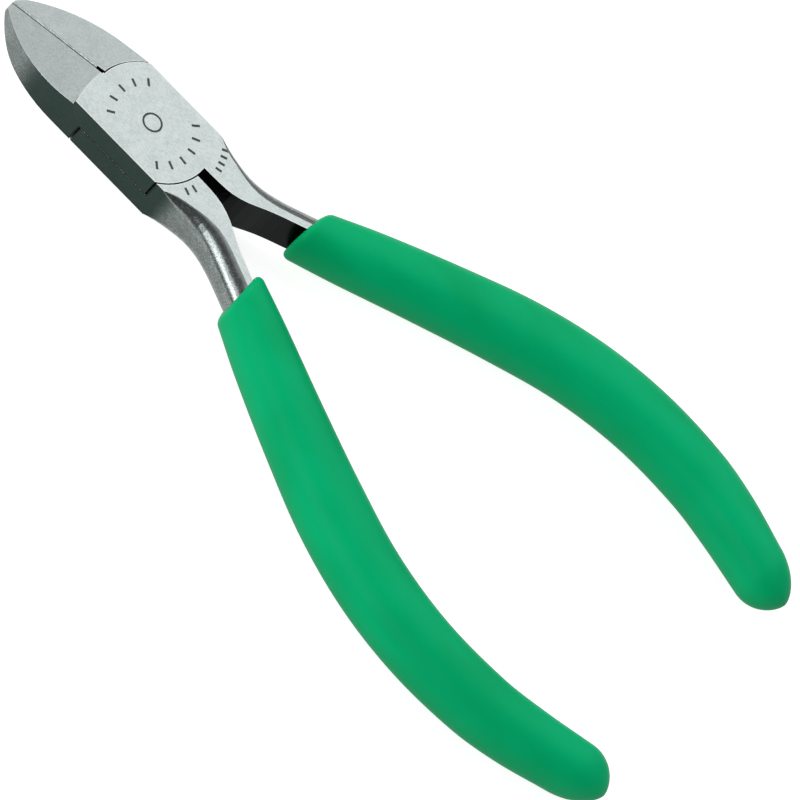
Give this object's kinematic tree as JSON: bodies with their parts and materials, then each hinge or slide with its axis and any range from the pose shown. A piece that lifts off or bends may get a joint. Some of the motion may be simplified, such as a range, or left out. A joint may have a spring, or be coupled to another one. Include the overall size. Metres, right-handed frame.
{
  "type": "sprue nippers",
  "caption": "Small side-cutting nippers with a riveted lap joint, pointed flush jaws and bowed dip-moulded grips, for trimming sprues and fine wire.",
  "frame": {"origin": "on the pivot axis, at the back face of the joint", "axes": "+Y from the pivot towards the jaw tips, +Z out of the front face along the pivot, +X to the right as seen from the front with the tips up"},
  "size_m": [0.055, 0.11, 0.0081],
  "materials": {
    "ground_steel": "satin-ground flat faces with a fine grain, darker polished flanks",
    "rivet_steel": "ground flush with the joint faces",
    "grip_vinyl": "soft gloss dip-moulded green vinyl"
  },
  "bodies": {
    "front_body": {"front_half": "ground_steel", "pivot_rivet": "rivet_steel", "right_grip": "grip_vinyl"},
    "back_body": {"back_half": "ground_steel", "left_grip": "grip_vinyl"}
  },
  "joints": [
    {"name": "jaw_pivot", "type": "hinge", "parent": "front_body", "child": "back_body", "pos_m": [0, 0, 0], "axis": [0, 0, -1], "range_deg": [0, 50]}
  ]
}
